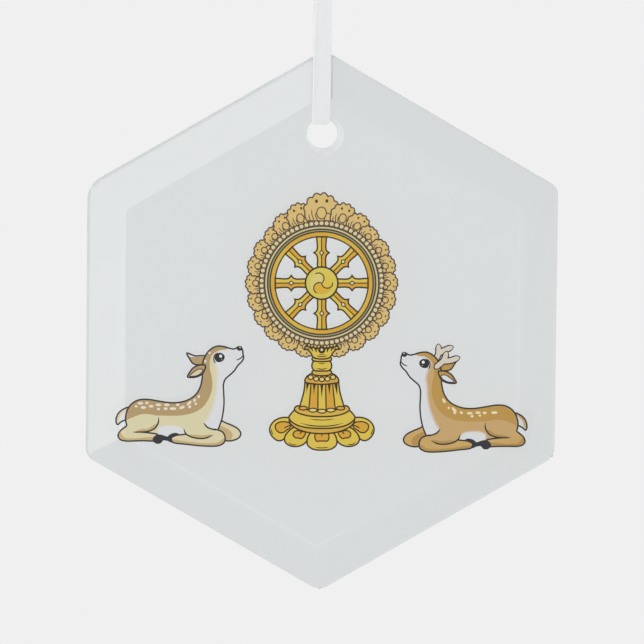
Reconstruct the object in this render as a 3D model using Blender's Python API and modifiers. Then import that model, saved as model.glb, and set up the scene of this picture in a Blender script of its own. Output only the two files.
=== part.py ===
"""A hexagonal hanging ornament of bevelled clear glass, with the satin ribbon that it hangs by.

Metres, +Z up. The origin is the top of the ribbon's loop, where a hook bears, so everything
hangs below it but the knot and its two tails. The glass stands upright under it, with its
bevelled front towards -Y and a corner at the top.
"""

import math

import bmesh
import bpy
from mathutils import Matrix, Vector

# Glass plate
ACROSS_FLATS = 0.078
GLASS_THICKNESS = 0.005
RIM_THICKNESS = 0.0025
BEVEL_WIDTH = 0.00635
CORNER_RADIUS = 0.0017
BACK_ARRIS = 0.0003
HEX_SIDES = 6
CORNER_SEGMENTS = 6

# Hanging hole, drilled through the glass near its top corner
BORE_DIAMETER = 0.005
BORE_CHAMFER = 0.00065
BORE_ABOVE_CENTRE = 0.0308
BORE_BELOW_HOOK = 0.050
BORE_SIDES = 48

# Ribbon
RIBBON_WIDTH = 0.003
RIBBON_THICKNESS = 0.0003
ROUTE_STEPS = 3
EDGE_RESOLUTION = 2

# Knot, an overhand knot in both strands, with two tails cut on the slant
KNOT_HALF_SIZE = Vector((0.0027, 0.0018, 0.0021))
KNOT_CENTRE = Vector((0, 0, 0.0039))
KNOT_SEGMENTS = 20
KNOT_RINGS = 12
TURN_WIDTH = 0.0024
TURN_THICKNESS = 0.0007
TURN_POINTS = 40
# Each turn's tilt about Y, and how much further out than the heart it lies, the second on the first
TURNS = ((math.radians(30), 0.0), (math.radians(-38), 0.0003))
TAIL_CUT_SLANT = math.radians(32)

# How far a cutter runs past what it cuts
CUT_PAST = 0.001

# Points closer than this are one point, and a cut this close to a point passes through it.
SAME_POINT = 1e-6
ON_PLANE = 1e-7
# An edge that turns by more than this is shaded sharp.
SHARP_ANGLE = math.radians(30)
MILLIMETRE = 0.001

# The loop hangs turned a little about the vertical, which shifts the back strand to the left.
LOOP_TURN = math.radians(5)

# The loop's route, as y and z in millimetres: from under the knot down behind the glass, straight to
# its top corner and close along its back, then through the bore, and up in front of the glass, where
# the bevel leaves room to run straight from the bore's edge to the knot.
BACK_ROUTE_MM = (
    (0.62, 0.9),
    (0.86, -3.0),
    (1.34, -10.0),
    (1.88, -18.0),
    (2.42, -26.0),
    (2.88, -33.0),
    (3.08, -37.0),
    (3.11, -41.0),
    (3.12, -44.5),
)
BORE_ROUTE_MM = (
    (3.12, -46.6),
    (2.98, -47.7),
    (2.50, -48.38),
    (1.75, -48.72),
    (0.90, -48.82),
    (0.00, -48.84),
)
FRONT_ROUTE_MM = (
    (-2.98, -44.0),
    (-2.72, -39.0),
    (-2.40, -33.0),
    (-2.02, -26.0),
    (-1.58, -18.0),
    (-1.16, -10.0),
    (-0.80, -3.0),
    (-0.62, 0.9),
)

# The two passes of ribbon through the knot, as x, y, z in millimetres, each from its stub under the
# knot to its tail's end. A stub starts 0.3 mm above the strand that it meets.
BACK_PASS_MM = (
    (0.00, 0.62, 1.2),
    (0.00, 0.66, 2.6),
    (0.00, 0.60, 4.6),
    (-0.80, 0.75, 7.4),
    (-1.90, 1.15, 10.0),
    (-3.00, 1.40, 12.8),
    (-3.85, 1.20, 15.6),
    (-4.35, 0.75, 18.2),
)
FRONT_PASS_MM = (
    (0.00, -0.62, 1.2),
    (0.00, -0.66, 2.6),
    (0.00, -0.60, 4.6),
    (0.90, -0.85, 7.2),
    (1.90, -1.35, 9.6),
    (2.75, -1.55, 12.0),
    (3.30, -1.25, 14.4),
    (3.55, -0.80, 16.4),
)

# Colours, linear, with roughness and the share of light let through
GLASS_LOOK = ((0.80, 0.84, 0.85, 1.0), 0.05, 1.0)
RIBBON_LOOK = ((0.84, 0.85, 0.86, 1.0), 0.60, 0.0)

PART_COLLECTION = "glass_ornament"
CUTTER_COLLECTION = "cutters"


def clear_scene():
    """Removes whatever the file starts with."""
    for thing in list(bpy.data.objects):
        bpy.data.objects.remove(thing)


def new_collection(name):
    """A collection of that name, linked to the scene."""
    collection = bpy.data.collections.new(name)
    bpy.context.scene.collection.children.link(collection)
    return collection


def new_material(name, look):
    """A Principled material from a colour, a roughness and a share of light let through."""
    colour, roughness, transmission = look
    material = bpy.data.materials.new(name)
    material.use_nodes = True
    shader = material.node_tree.nodes["Principled BSDF"]
    shader.inputs["Base Color"].default_value = colour
    shader.inputs["Roughness"].default_value = roughness
    shader.inputs["Transmission Weight"].default_value = transmission
    return material


def new_object(name, data, collection):
    """An object holding that data, in that collection."""
    thing = bpy.data.objects.new(name, data)
    collection.objects.link(thing)
    return thing


def mesh_object(name, shape, collection):
    """An object made from a finished bmesh, which is freed, shaded smooth between its sharp edges."""
    mesh = bpy.data.meshes.new(name)
    shape.to_mesh(mesh)
    shape.free()
    mesh.shade_smooth()
    mesh.set_sharp_from_angle(angle=SHARP_ANGLE)
    return new_object(name, mesh, collection)


def as_cutter(thing):
    """Keeps a cutter out of sight."""
    thing.hide_render = True
    thing.display_type = "WIRE"
    return thing


def add_boolean(target, cutter, operation):
    """Joins, cuts or keeps the target's overlap with a cutter."""
    modifier = target.modifiers.new(f"{operation.lower()} {cutter.name}", "BOOLEAN")
    modifier.operation = operation
    modifier.object = cutter
    return modifier


def corner_to_corner(apothem):
    """The radius through a hexagon's corners, from the distance to its flats."""
    return apothem / math.cos(math.pi / HEX_SIDES)


# The glass is made lying down, with its front up, and turned upright at the end.
def bevelled_blank(collection):
    """A low hexagonal pyramid without its top, whose sides are the bevels carried on downwards."""
    slope = BEVEL_WIDTH / (GLASS_THICKNESS - RIM_THICKNESS)
    front_apothem = ACROSS_FLATS / 2 - BEVEL_WIDTH
    depth = GLASS_THICKNESS + CUT_PAST
    back_apothem = front_apothem + slope * depth
    shape = bmesh.new()
    bmesh.ops.create_cone(
        shape,
        cap_ends=True,
        segments=HEX_SIDES,
        radius1=corner_to_corner(back_apothem),
        radius2=corner_to_corner(front_apothem),
        depth=depth,
        matrix=Matrix.Translation((0, 0, GLASS_THICKNESS / 2 - depth / 2)),
    )
    return mesh_object("glass_plate", shape, collection)


def outline_prism(collection):
    """The plate's outline as a hexagonal prism with rounded corners and a small back arris."""
    depth = GLASS_THICKNESS + CUT_PAST
    shape = bmesh.new()
    bmesh.ops.create_cone(
        shape,
        cap_ends=True,
        segments=HEX_SIDES,
        radius1=corner_to_corner(ACROSS_FLATS / 2),
        radius2=corner_to_corner(ACROSS_FLATS / 2),
        depth=depth,
        matrix=Matrix.Translation((0, 0, depth / 2 - GLASS_THICKNESS / 2)),
    )
    upright = [e for e in shape.edges if abs(e.verts[0].co.z - e.verts[1].co.z) > depth / 2]
    # A bevel's offset is measured along the flats, from the sharp corner to where the arc starts.
    bmesh.ops.bevel(
        shape,
        geom=upright,
        offset=CORNER_RADIUS * math.tan(math.pi / HEX_SIDES),
        offset_type="OFFSET",
        segments=CORNER_SEGMENTS,
        profile=0.5,
        affect="EDGES",
        material=-1,
    )
    back = min(shape.faces, key=lambda face: face.calc_center_median().z)
    bmesh.ops.bevel(
        shape,
        geom=list(back.edges),
        offset=BACK_ARRIS,
        segments=1,
        profile=0.5,
        affect="EDGES",
        material=-1,
    )
    return as_cutter(mesh_object("outline_prism", shape, collection))


def bore_cutter(collection):
    """The drilled hole with its chamfers: a spool turned about its own axis, from half its outline."""
    radius = BORE_DIAMETER / 2
    face = GLASS_THICKNESS / 2
    past = face + CUT_PAST
    rim = radius + BORE_CHAMFER + CUT_PAST
    profile = (
        (0, past),
        (rim, past),
        (radius, face - BORE_CHAMFER),
        (radius, BORE_CHAMFER - face),
        (rim, -past),
        (0, -past),
    )
    shape = bmesh.new()
    corners = [shape.verts.new((across, 0, height)) for across, height in profile]
    for pair in zip(corners, corners[1:]):
        shape.edges.new(pair)
    spool = mesh_object("bore_spool", shape, collection)
    turned = spool.modifiers.new("turned", "SCREW")
    turned.axis = "Z"
    turned.angle = 2 * math.pi
    turned.steps = BORE_SIDES
    turned.render_steps = BORE_SIDES
    turned.use_merge_vertices = True
    turned.merge_threshold = SAME_POINT
    return as_cutter(spool)


def glass_plate(parts, cutters, hook):
    """One piece of plate glass: cut to a hexagon, bevelled on its front, drilled for the ribbon."""
    plate = bevelled_blank(parts)
    prism = outline_prism(cutters)
    spool = bore_cutter(cutters)
    add_boolean(plate, prism, "INTERSECT")
    add_boolean(plate, spool, "DIFFERENCE")
    bore = Vector((0, 0, -BORE_BELOW_HOOK))
    centre = bore - Vector((0, 0, BORE_ABOVE_CENTRE))
    for thing, place in ((plate, centre), (prism, centre), (spool, bore)):
        thing.location = place
        thing.rotation_euler = (math.pi / 2, 0, 0)
        thing.parent = hook
    plate.data.materials.append(new_material("clear glass", GLASS_LOOK))
    return plate


def smooth_route(points_mm, steps):
    """A smooth curve through the points, in metres: centripetal Catmull-Rom, some steps to a stretch."""
    points = [Vector(p) * MILLIMETRE for p in points_mm]
    points = [points[0] * 2 - points[1], *points, points[-1] * 2 - points[-2]]
    route = []
    for a, b, c, d in zip(points, points[1:], points[2:], points[3:]):
        ta = 0.0
        tb = ta + math.sqrt((b - a).length)
        tc = tb + math.sqrt((c - b).length)
        td = tc + math.sqrt((d - c).length)
        for step in range(steps):
            t = tb + (tc - tb) * step / steps
            ab = a.lerp(b, (t - ta) / (tb - ta))
            bc = b.lerp(c, (t - tb) / (tc - tb))
            cd = c.lerp(d, (t - tc) / (td - tc))
            abc = ab.lerp(bc, (t - ta) / (tc - ta))
            bcd = bc.lerp(cd, (t - tb) / (td - tb))
            route.append(abc.lerp(bcd, (t - tb) / (tc - tb)))
    return [*route, points[-2]]


def flat_tube(name, route, width, thickness, collection, tilt=math.pi / 2, closed=False):
    """A flat ribbon along a route, as a curve with rounded edges. The tilt turns its width to X."""
    curve = bpy.data.curves.new(name, "CURVE")
    curve.dimensions = "3D"
    curve.twist_mode = "MINIMUM"
    curve.extrude = (width - thickness) / 2
    curve.bevel_depth = thickness / 2
    curve.bevel_resolution = EDGE_RESOLUTION
    curve.use_fill_caps = True
    spline = curve.splines.new("POLY")
    spline.use_cyclic_u = closed
    spline.points.add(len(route) - 1)
    for point, place in zip(spline.points, route):
        point.co = (*place, 1)
        point.tilt = tilt
    return new_object(name, curve, collection)


def ribbon_route():
    """The loop's points: down behind the glass, through the bore, and up in front of it."""
    bore_front = [(-y, z) for y, z in reversed(BORE_ROUTE_MM[:-1])]
    points = [*BACK_ROUTE_MM, *BORE_ROUTE_MM, *bore_front, *FRONT_ROUTE_MM]
    return smooth_route([(0, y, z) for y, z in points], ROUTE_STEPS)


def ribbon_strands(parts, hook):
    """The ribbon from the knot down behind the glass, through the bore and up in front of it."""
    ribbon = flat_tube("hanging_ribbon", ribbon_route(), RIBBON_WIDTH, RIBBON_THICKNESS, parts)
    ribbon.parent = hook
    ribbon.rotation_euler.z = LOOP_TURN
    ribbon.data.materials.append(new_material("white satin", RIBBON_LOOK))
    return ribbon


def tube_to_mesh(tube):
    """The same shape as a closed mesh in world space, so that it can take a Boolean."""
    bpy.context.view_layer.update()
    collection = tube.users_collection[0]
    mesh = bpy.data.meshes.new_from_object(tube.evaluated_get(bpy.context.evaluated_depsgraph_get()))
    shape = bmesh.new()
    shape.from_mesh(mesh)
    bmesh.ops.remove_doubles(shape, verts=shape.verts, dist=SAME_POINT)
    shape.to_mesh(mesh)
    shape.free()
    solid = new_object(f"{tube.name}_solid", mesh, collection)
    solid.matrix_world = tube.matrix_world
    bpy.data.objects.remove(tube)
    return solid


def knot_core(collection):
    """The rounded heart of the knot."""
    place = Matrix.Translation(KNOT_CENTRE) @ Matrix.Diagonal((*KNOT_HALF_SIZE, 1))
    shape = bmesh.new()
    bmesh.ops.create_uvsphere(
        shape, u_segments=KNOT_SEGMENTS, v_segments=KNOT_RINGS, radius=1, matrix=place
    )
    return mesh_object("ribbon_knot", shape, collection)


def knot_turn(name, tilt, out, collection):
    """One turn of ribbon drawn tight round the knot: a level loop, then tilted about Y."""
    across = KNOT_HALF_SIZE.x + out
    deep = KNOT_HALF_SIZE.y + out
    angles = [2 * math.pi * i / TURN_POINTS for i in range(TURN_POINTS)]
    route = [(across * math.cos(angle), deep * math.sin(angle), 0) for angle in angles]
    turn = flat_tube(name, route, TURN_WIDTH, TURN_THICKNESS, collection, tilt=0, closed=True)
    turn.location = KNOT_CENTRE
    turn.rotation_euler.y = tilt
    return tube_to_mesh(turn)


def knot_pass(name, points_mm, slant, collection):
    """The ribbon's way through the knot and out as a tail, whose end is cut on the slant."""
    route = smooth_route(points_mm, ROUTE_STEPS)
    tail = tube_to_mesh(flat_tube(name, route, RIBBON_WIDTH, RIBBON_THICKNESS, collection))
    along = (route[-1] - route[-2]).normalized()
    back_from_end = RIBBON_WIDTH / 2 * math.tan(abs(slant))
    shape = bmesh.new()
    shape.from_mesh(tail.data)
    bmesh.ops.bisect_plane(
        shape,
        geom=[*shape.verts, *shape.edges, *shape.faces],
        dist=ON_PLANE,
        plane_co=route[-1] - along * back_from_end,
        plane_no=Matrix.Rotation(slant, 3, "Y") @ along,
        clear_outer=True,
    )
    bmesh.ops.holes_fill(shape, edges=[e for e in shape.edges if e.is_boundary])
    shape.to_mesh(tail.data)
    shape.free()
    return tail


def ribbon_knot(parts, cutters, hook):
    """The knot that closes the loop, joined from its heart, two turns, stubs and tails."""
    knot = knot_core(parts)
    knot.parent = hook
    joined = [knot_turn(f"knot_turn_{i}", *turn, cutters) for i, turn in enumerate(TURNS)]
    joined.append(knot_pass("back_pass", BACK_PASS_MM, TAIL_CUT_SLANT, cutters))
    joined.append(knot_pass("front_pass", FRONT_PASS_MM, -TAIL_CUT_SLANT, cutters))
    for solid in joined:
        add_boolean(knot, as_cutter(solid), "UNION")
    knot.data.materials.append(new_material("white satin knot", RIBBON_LOOK))
    return knot


def build_ornament():
    """Everything, under one empty at the point that hangs on the hook."""
    clear_scene()
    parts = new_collection(PART_COLLECTION)
    cutters = new_collection(CUTTER_COLLECTION)
    hook = new_object("hook_point", None, parts)
    glass_plate(parts, cutters, hook)
    ribbon_strands(parts, hook)
    ribbon_knot(parts, cutters, hook)


build_ornament()
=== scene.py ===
# %% [markdown]
# # A bevelled glass ornament, printed with a dharma wheel and two deer
# The object is a hexagonal plate of clear glass, 78 mm across its flats and 5 mm thick, that hangs by
# a narrow satin ribbon. Its front is ground to a wide bevel and printed in gold, tan and brown inks.
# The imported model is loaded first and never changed. It holds the plate, the ribbon and the knot at
# their real size. What follows makes the surfaces that the eye sees, and puts them where it says.

# %% Load the fixed frame
import math

import bmesh
import bpy
from mathutils import Matrix, Vector, geometry


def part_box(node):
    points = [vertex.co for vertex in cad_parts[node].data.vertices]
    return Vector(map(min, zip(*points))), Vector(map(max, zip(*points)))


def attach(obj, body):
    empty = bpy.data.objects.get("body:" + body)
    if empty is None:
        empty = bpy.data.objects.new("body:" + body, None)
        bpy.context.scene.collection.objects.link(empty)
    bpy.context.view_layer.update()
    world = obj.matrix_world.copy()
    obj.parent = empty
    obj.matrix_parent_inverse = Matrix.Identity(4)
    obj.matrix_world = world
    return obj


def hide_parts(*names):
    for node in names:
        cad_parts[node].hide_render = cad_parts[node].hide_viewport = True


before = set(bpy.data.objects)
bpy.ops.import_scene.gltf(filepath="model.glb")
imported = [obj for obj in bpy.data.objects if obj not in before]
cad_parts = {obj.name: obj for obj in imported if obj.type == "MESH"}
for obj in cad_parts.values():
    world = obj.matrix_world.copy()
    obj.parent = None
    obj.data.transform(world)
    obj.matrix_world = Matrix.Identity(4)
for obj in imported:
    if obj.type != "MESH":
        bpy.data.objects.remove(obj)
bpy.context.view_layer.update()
MM = 0.001
print("nodes:", sorted(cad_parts))

# %% [markdown]
# # Colours and nodes
# A colour picked on a screen is sRGB, but a renderer adds up light in linear values, so every colour
# here is an sRGB hex value that one function turns to linear. One more function adds a node to a
# material with its settings and its links, so that each material reads from top to bottom.

# %% Two small helpers for materials
LINEAR_END = 0.04045


def linear(hex_colour):
    """A linear RGBA colour from an sRGB hex value."""
    shares = [int(hex_colour[i:i + 2], 16) / 255 for i in (1, 3, 5)]
    return [s / 12.92 if s <= LINEAR_END else ((s + 0.055) / 1.055) ** 2.4 for s in shares] + [1.0]


def add_node(tree, kind, links=None, **settings):
    """Adds a node: settings are its properties or its inputs' values, links feed its inputs."""
    node = tree.nodes.new(kind)
    for name, value in settings.items():
        if hasattr(node, name):
            setattr(node, name, value)
        else:
            node.inputs[name.replace("_", " ")].default_value = value
    for name, source in (links or {}).items():
        tree.links.new(source, node.inputs[name])
    return node


def new_material(name, **values):
    """A material with one Principled shader, whose plain values are set on its own sockets."""
    material = bpy.data.materials.new(name)
    material.use_nodes = True
    shader = material.node_tree.nodes["Principled BSDF"]
    for socket, value in values.items():
        shader.inputs[socket.replace("_", " ")].default_value = value
    return material, material.node_tree, shader


print("white ink in linear values:", [round(v, 3) for v in linear("#E4E5E7")])

# %% [markdown]
# # The camera
# A product shot of so small a thing is taken from a little way off with a long lens. The camera stands
# to the left of the glass and above it, so that the lower right of the drilled hole's wall shows, and
# the long lens keeps the hexagon's sides from leaning together. It isn't held quite upright.

# %% Place the camera
glass_low, glass_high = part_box("glass_plate")
glass_centre = (glass_low + glass_high) / 2
SHOT_DISTANCE = 1.2
SHOT_WIDTH = 106.7 * MM
SHOT_AZIMUTH = math.radians(-4.0)
SHOT_ELEVATION = math.radians(6.2)
SHOT_ROLL = math.radians(0.6)
SHOT_AIM = Vector((-0.04, 0, 0)) * MM
SENSOR_MM = 36

toward_camera = Vector((0, -1, 0))
toward_camera.rotate(Matrix.Rotation(-SHOT_ELEVATION, 3, "X"))
toward_camera.rotate(Matrix.Rotation(SHOT_AZIMUTH, 3, "Z"))
facing = toward_camera.to_track_quat("Z", "Y").to_matrix() @ Matrix.Rotation(SHOT_ROLL, 3, "Z")
lens = bpy.data.cameras.new("shot")
lens.sensor_width = SENSOR_MM
lens.lens = SENSOR_MM * SHOT_DISTANCE / SHOT_WIDTH
lens.clip_start = 0.05
camera = bpy.data.objects.new("shot", lens)
camera.location = glass_centre + SHOT_AIM + toward_camera * SHOT_DISTANCE
camera.rotation_euler = facing.to_euler()
bpy.context.scene.collection.objects.link(camera)
bpy.context.scene.camera = camera
print("lens:", round(lens.lens), "mm")

# %% [markdown]
# # Floor, backdrop and light
# Clear glass shows what is around it, so it is shot against bright white paper in a dimmer room, whose
# darker sides draw the edges of the glass. A curved sheet of seamless paper makes the floor and the
# backdrop in one sweep, so no line crosses behind the glass. The paper glows by itself, because paper
# lit by lamps would never be quite even. A large soft panel in front gives the flat face its faint
# reflection and lights the ribbon, and a long one on the left is what the bevels at the upper left pick
# up. A bevel mirrors one part of the room only, so where a panel stands decides which bevels shine.
# Six narrow strips stand in front in a hexagon. They are mirrored only where the flat face turns into a
# bevel, and so they draw the light lines round it. Their light counts in mirrors only, or they would be
# seen through the glass from behind.

# %% The room, the paper and the panels
PAPER_WHITE = "#F0F0F0"
ROOM_GREY = "#DDDDDE"
STRIPS = 6
STRIP_GLOW = 1.1
STRIP_WIDTH, STRIP_LENGTH = 0.03, 0.1
STRIP_DISTANCE = 0.7
STRIPS_MIDDLE = Vector((0.049, -0.69, -0.076))
STRIPS_RADIUS = 0.088
FLOOR_Z = glass_low.z - 0.16
PAPER_HALF_WIDTH = 2.6
PAPER_FRONT, PAPER_BACK, PAPER_TOP = -1.6, 2.4, 2.0
PAPER_CURVE = 0.5
CURVE_STEPS = 16

world = bpy.data.worlds.new("studio_room")
world.use_nodes = True
world.node_tree.nodes["Background"].inputs["Color"].default_value = linear(ROOM_GREY)
bpy.context.scene.world = world
bpy.context.scene.view_settings.view_transform = "Standard"


def run_on(shape, edge, step):
    """Extrudes one edge by a step, and returns the new edge."""
    made = bmesh.ops.extrude_edge_only(shape, edges=[edge])["geom"]
    fresh = [part for part in made if isinstance(part, bmesh.types.BMVert)]
    bmesh.ops.translate(shape, vec=step, verts=fresh)
    return shape.edges.get(fresh)


def seamless_paper():
    """A flat floor that curves up into an upright backdrop, run on from one edge."""
    shape = bmesh.new()
    ends = [shape.verts.new((side * PAPER_HALF_WIDTH, PAPER_FRONT, FLOOR_Z)) for side in (-1, 1)]
    curve_at = PAPER_BACK - PAPER_CURVE
    edge = run_on(shape, shape.edges.new(ends), Vector((0, curve_at - PAPER_FRONT, 0)))
    curve = bmesh.ops.spin(
        shape,
        geom=[*edge.verts, edge],
        cent=(0, curve_at, FLOOR_Z + PAPER_CURVE),
        axis=(1, 0, 0),
        angle=math.pi / 2,
        steps=CURVE_STEPS,
    )
    edge = next(part for part in curve["geom_last"] if isinstance(part, bmesh.types.BMEdge))
    run_on(shape, edge, Vector((0, 0, PAPER_TOP)))
    return shape


def finished_mesh(name, shape, smooth_below=None):
    """A mesh object at the origin from a bmesh, which is freed, smooth below the given angle."""
    mesh = bpy.data.meshes.new(name)
    shape.to_mesh(mesh)
    shape.free()
    if smooth_below is not None:
        mesh.shade_smooth()
        mesh.set_sharp_from_angle(angle=smooth_below)
    thing = bpy.data.objects.new(name, mesh)
    bpy.context.scene.collection.objects.link(thing)
    return thing


paper = finished_mesh("seamless_paper", seamless_paper(), math.radians(30))
paper_finish, _, _ = new_material(
    "seamless paper", Base_Color=(0, 0, 0, 1), Specular_IOR_Level=0.0, Roughness=1.0,
    Emission_Color=linear(PAPER_WHITE), Emission_Strength=1.0,
)
paper.data.materials.append(paper_finish)


def soft_panel(name, toward, distance, width, height, glow, roll=0.0):
    """A soft panel that faces the glass. Its glow is how bright its face is, where 1 is white."""
    light = bpy.data.lights.new(name, "AREA")
    light.shape = "RECTANGLE"
    light.size, light.size_y = width, height
    light.energy = glow * math.pi * width * height
    panel = bpy.data.objects.new(name, light)
    out = Vector(toward).normalized()
    panel.location = glass_centre + out * distance
    facing = out.to_track_quat("Z", "Y").to_matrix() @ Matrix.Rotation(roll, 3, "Z")
    panel.rotation_euler = facing.to_euler()
    bpy.context.scene.collection.objects.link(panel)
    return panel


def light_mirrors_only(panel):
    """Lets a lamp's light arrive only by way of a reflection."""
    panel.data.use_nodes = True
    tree = panel.data.node_tree
    path = add_node(tree, "ShaderNodeLightPath")
    counts = add_node(
        tree, "ShaderNodeMath", links={0: path.outputs["Glossy Depth"]}, operation="GREATER_THAN",
    )
    counts.inputs[1].default_value = 0.5
    tree.links.new(counts.outputs[0], tree.nodes["Emission"].inputs["Strength"])


soft_panel("panel_front", (0.07, -1, -0.11), 1.6, 1.15, 1.15, 0.25)
soft_panel("panel_left", (-0.54, -0.81, 0.24), 0.48, 0.2, 0.64, 1.75, math.radians(-28))
for index in range(STRIPS):
    around = 2 * math.pi * index / STRIPS
    toward = STRIPS_MIDDLE + Vector((math.cos(around), 0, math.sin(around))) * STRIPS_RADIUS
    light_mirrors_only(soft_panel(
        f"strip_{index + 1}", toward, STRIP_DISTANCE, STRIP_WIDTH, STRIP_LENGTH, STRIP_GLOW, around,
    ))
print("paper faces:", len(paper.data.polygons), "strips:", STRIPS)

# %% [markdown]
# # The glass plate
# A glazier cuts the hexagon from 5 mm plate glass, rounds its corners a little, grinds a wide flat
# bevel along each side of the front, drills the hole with a diamond core and breaks every sharp edge.
# In Blender the plate could be a hexagon with bevelled edges, but the Bevel tool would round each
# mitre. Grinding it as the glazier does keeps the mitres straight: a low pyramid gives the front and
# its bevels, flat cuts give the sides and corners, and a turned spool drills the hole.

# %% The plate's sizes
BEVEL_WIDTH = 6.35 * MM
RIM = 2.5 * MM
CORNER_RADII_MM = (2.2, 2.5, 4.3, 2.4, 2.9, 2.7)
CORNER_CUTS = 10
FRONT_ARRIS = 0.45 * MM
BACK_ARRIS = 0.5 * MM
ARRIS_STEPS = 10
CREASE = 0.12 * MM
SMOOTH_BELOW = math.radians(10)
SIDES = 6
BORE_X, BORE_Z = -0.15 * MM, -49.62 * MM
BORE_FRONT, BORE_BACK = 3.02 * MM, 2.46 * MM
BORE_ARRIS = 0.15 * MM
BORE_SIDES = 96
SAME_POINT = 1e-7

apothem = (glass_high.x - glass_low.x) / 2
thickness = glass_high.y - glass_low.y
front_apothem = apothem - BEVEL_WIDTH
bevel_slope = (thickness - RIM) / BEVEL_WIDTH
UPRIGHT = Matrix.Translation(glass_centre) @ Matrix.Rotation(math.pi / 2, 4, "X")
print("bevel angle:", round(math.degrees(math.atan(bevel_slope)), 1), "degrees")


# %% Grind the plate from a pyramid
def everything(shape):
    """All parts of a bmesh, for the tools that want them listed."""
    return [*shape.verts, *shape.edges, *shape.faces]


def grind(shape, point, outward):
    """Cuts away all that lies outside a plane, and closes the cut."""
    bmesh.ops.bisect_plane(
        shape, geom=everything(shape), dist=SAME_POINT, plane_co=point, plane_no=outward,
        clear_outer=True,
    )
    bmesh.ops.holes_fill(shape, edges=[edge for edge in shape.edges if edge.is_boundary])


def break_edges(shape, edges, width, steps):
    """Takes the edge off along some edges, flat in one step and round in more."""
    bmesh.ops.bevel(
        shape, geom=edges, offset=width, segments=steps, profile=0.5, affect="EDGES", material=-1,
    )


def ground_plate():
    """The plate lying on its back, still without its hole."""
    corner = 1 / math.cos(math.pi / SIDES)
    shape = bmesh.new()
    bmesh.ops.create_cone(
        shape, cap_ends=True, segments=SIDES, depth=thickness,
        radius1=(front_apothem + thickness / bevel_slope) * corner,
        radius2=front_apothem * corner,
    )
    for side, radius in enumerate(CORNER_RADII_MM):
        radius *= MM
        towards_corner = math.radians(60 * side + 30)
        arc_centre = Vector((math.cos(towards_corner), math.sin(towards_corner), 0))
        arc_centre *= (apothem - radius) * corner
        for cut in range(CORNER_CUTS):
            turn = math.radians(60 * (side + cut / CORNER_CUTS))
            outward = Vector((math.cos(turn), math.sin(turn), 0))
            grind(shape, arc_centre + outward * radius, outward)
    upright = {face for face in shape.faces if abs(face.normal.z) < 0.01}
    rims = [e for e in shape.edges if len(upright.intersection(e.link_faces)) == 1]
    creases = [e for e in shape.edges if not upright.intersection(e.link_faces)]
    break_edges(shape, creases, CREASE, 1)
    rims = [edge for edge in rims if edge.is_valid]
    back = [edge for edge in rims if edge.verts[0].co.z < -thickness * 0.49]
    break_edges(shape, back, BACK_ARRIS, ARRIS_STEPS)
    front = [edge for edge in rims if edge.is_valid and edge not in back]
    break_edges(shape, front, FRONT_ARRIS, ARRIS_STEPS)
    return shape


blank = finished_mesh("bevelled_glass", ground_plate())
print("ground plate faces:", len(blank.data.polygons))


# %% Drill the hole
def drilled_spool():
    """What the tapered drill and its two countersinks remove, spun from half its outline."""
    face = thickness / 2
    past = face + 1 * MM
    flare = BORE_ARRIS + 1 * MM
    outline = (
        (0, past), (BORE_FRONT + flare, past), (BORE_FRONT, face - BORE_ARRIS),
        (BORE_BACK, BORE_ARRIS - face), (BORE_BACK + flare, -past), (0, -past),
    )
    middle = Vector((BORE_X, BORE_Z - glass_centre.z, 0))
    shape = bmesh.new()
    corners = [shape.verts.new(middle + Vector((across, 0, height))) for across, height in outline]
    edges = [shape.edges.new(pair) for pair in zip(corners, corners[1:])]
    bmesh.ops.spin(
        shape, geom=corners + edges, cent=middle, axis=(0, 0, 1), angle=2 * math.pi,
        steps=BORE_SIDES, use_merge=True,
    )
    bmesh.ops.remove_doubles(shape, verts=shape.verts, dist=SAME_POINT)
    bmesh.ops.recalc_face_normals(shape, faces=shape.faces)
    return shape


def settle(thing, place=Matrix.Identity(4), smooth_below=SMOOTH_BELOW):
    """Applies a piece's modifiers, moves its mesh to its place and shades its curves smooth."""
    bpy.context.view_layer.update()
    depsgraph = bpy.context.evaluated_depsgraph_get()
    mesh = bpy.data.meshes.new_from_object(thing.evaluated_get(depsgraph))
    mesh.transform(place)
    mesh.shade_smooth()
    mesh.set_sharp_from_angle(angle=smooth_below)
    thing.modifiers.clear()
    thing.data = mesh
    return thing


spool = finished_mesh("spool", drilled_spool())
drill = blank.modifiers.new("drill", "BOOLEAN")
drill.operation = "DIFFERENCE"
drill.object = spool
glass = settle(blank, UPRIGHT)
bpy.data.objects.remove(spool)
print("glass box, mm:", [round(side / MM, 2) for side in glass.dimensions])

# %% [markdown]
# # Clear glass
# Soda-lime plate glass bends light with an index of 1.52 and mirrors about 4% of it at each face. A
# little iron makes it a cool grey, and takes about a tenth of the light on the way through. All of
# that is plain values on one shader: no roughness on polished faces, and a base colour that tints the
# light at each face that it crosses. Seen from the side, light is caught between the plate's two faces
# and its bevels would go black, so a small share of it is scattered as by a slight haze. The hole's
# wall and the rim are only finely ground, and scatter much more.

# %% Glass finish
GLASS_TINT = "#E4E7E7"
GROUND_WHITE = "#E3E7E7"
POLISHED_CLEAR, GROUND_CLEAR = 0.93, 0.45
polished, _, _ = new_material(
    "polished soda-lime glass", Base_Color=linear(GLASS_TINT), Roughness=0.0, IOR=1.52,
    Transmission_Weight=POLISHED_CLEAR,
)
ground, _, _ = new_material(
    "finely ground glass", Base_Color=linear(GROUND_WHITE), Roughness=0.45, IOR=1.52,
    Transmission_Weight=GROUND_CLEAR,
)
glass.data.materials.clear()
glass.data.materials.append(polished)
glass.data.materials.append(ground)
for face in glass.data.polygons:
    off_axis = Vector((face.center.x - BORE_X, face.center.z - BORE_Z)).length
    in_hole = off_axis < BORE_FRONT + BORE_ARRIS and abs(face.normal.y) < 0.9
    face.material_index = int(in_hole or abs(face.normal.y) < 0.01)
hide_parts("glass_plate")
glass.visible_shadow = False
glass.visible_diffuse = False
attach(glass, "root")
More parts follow.
